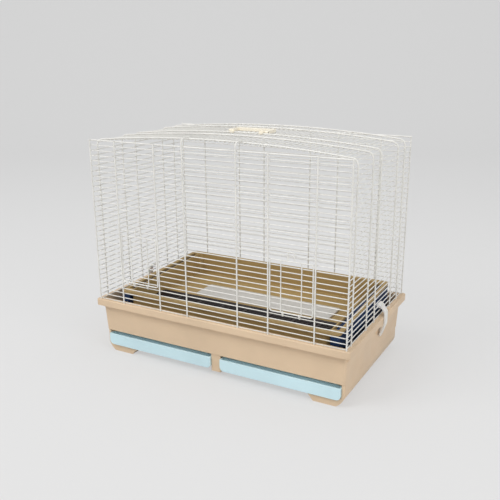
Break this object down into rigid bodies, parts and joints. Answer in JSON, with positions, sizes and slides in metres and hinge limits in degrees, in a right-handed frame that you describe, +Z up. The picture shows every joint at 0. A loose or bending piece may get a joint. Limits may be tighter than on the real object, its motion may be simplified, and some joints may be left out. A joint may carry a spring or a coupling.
{
  "type": "small animal cage",
  "caption": "Wire-topped rodent cage on a plastic tub with drop doors, side latches, a folding handle, an inner tray and litter drawers underneath.",
  "frame": {"origin": "centre of the bounding box at the floor", "axes": "+X to the right along the length, +Y from the front to the back, +Z up"},
  "size_m": [0.6068, 0.354, 0.4974],
  "materials": {
    "tub_plastic": "beige moulded plastic, soft gloss",
    "drawer_plastic": "pale blue moulded plastic, soft gloss",
    "tray_plastic": "beige moulded plastic, matt",
    "end_block_plastic": "navy blue ribbed plastic, matt",
    "grate_plastic": "black moulded plastic, matt",
    "panel_plastic": "pale grey moulded plastic, matt",
    "wire_coating": "off-white coated steel wire",
    "clip_plastic": "milky white springy plastic",
    "handle_plastic": "cream moulded plastic",
    "pin_steel": "bare steel"
  },
  "bodies": {
    "cage": {"base_tub": "tub_plastic", "drawer_housing": "tub_plastic", "inner_tray": "tray_plastic", "tray_end_left": "end_block_plastic", "tray_end_right": "end_block_plastic", "sieve_grate": "grate_plastic", "floor_panel": "panel_plastic", "roof_hoops": "wire_coating", "roof_wires": "wire_coating", "side_wires_left": "wire_coating", "side_wires_right": "wire_coating", "front_uprights": "wire_coating", "front_wires": "wire_coating", "front_top_wire": "wire_coating", "back_uprights": "wire_coating", "back_wires": "wire_coating", "back_top_wire": "wire_coating", "handle_brackets": "handle_plastic", "handle_pins": "pin_steel"},
    "drawer_left": {"drawer_left": "drawer_plastic"},
    "drawer_right": {"drawer_right": "drawer_plastic"},
    "door_left": {"door_left_frame": "wire_coating", "door_left_bars": "wire_coating", "door_left_wires": "wire_coating", "door_left_pull": "wire_coating", "door_left_hinge_eyes": "wire_coating"},
    "door_right": {"door_right_frame": "wire_coating", "door_right_bars": "wire_coating", "door_right_wires": "wire_coating", "door_right_pull": "wire_coating", "door_right_hinge_eyes": "wire_coating"},
    "latch_left": {"latch_left": "clip_plastic"},
    "latch_right": {"latch_right": "clip_plastic"},
    "handle": {"handle_grip": "handle_plastic"}
  },
  "joints": [
    {"name": "drawer_left_slide", "type": "slide", "parent": "cage", "child": "drawer_left", "axis": [0, -1, 0], "range_m": [0, 0.22]},
    {"name": "drawer_right_slide", "type": "slide", "parent": "cage", "child": "drawer_right", "axis": [0, -1, 0], "range_m": [0, 0.22]},
    {"name": "door_left_hinge", "type": "hinge", "parent": "cage", "child": "door_left", "pos_m": [-0.177, -0.16945, 0.17105], "axis": [1, 0, 0], "range_deg": [0, 150]},
    {"name": "door_right_hinge", "type": "hinge", "parent": "cage", "child": "door_right", "pos_m": [0.177, -0.16945, 0.17105], "axis": [1, 0, 0], "range_deg": [0, 150]},
    {"name": "latch_left_swing", "type": "hinge", "parent": "cage", "child": "latch_left", "pos_m": [-0.28845, 0.025, 0.14905], "axis": [0, 1, 0], "range_deg": [0, 100]},
    {"name": "latch_right_swing", "type": "hinge", "parent": "cage", "child": "latch_right", "pos_m": [0.28845, 0.025, 0.14905], "axis": [0, -1, 0], "range_deg": [0, 100]},
    {"name": "handle_swing", "type": "hinge", "parent": "cage", "child": "handle", "pos_m": [0, -0.01201, 0.49439], "axis": [1, 0, 0], "range_deg": [0, 150]}
  ]
}
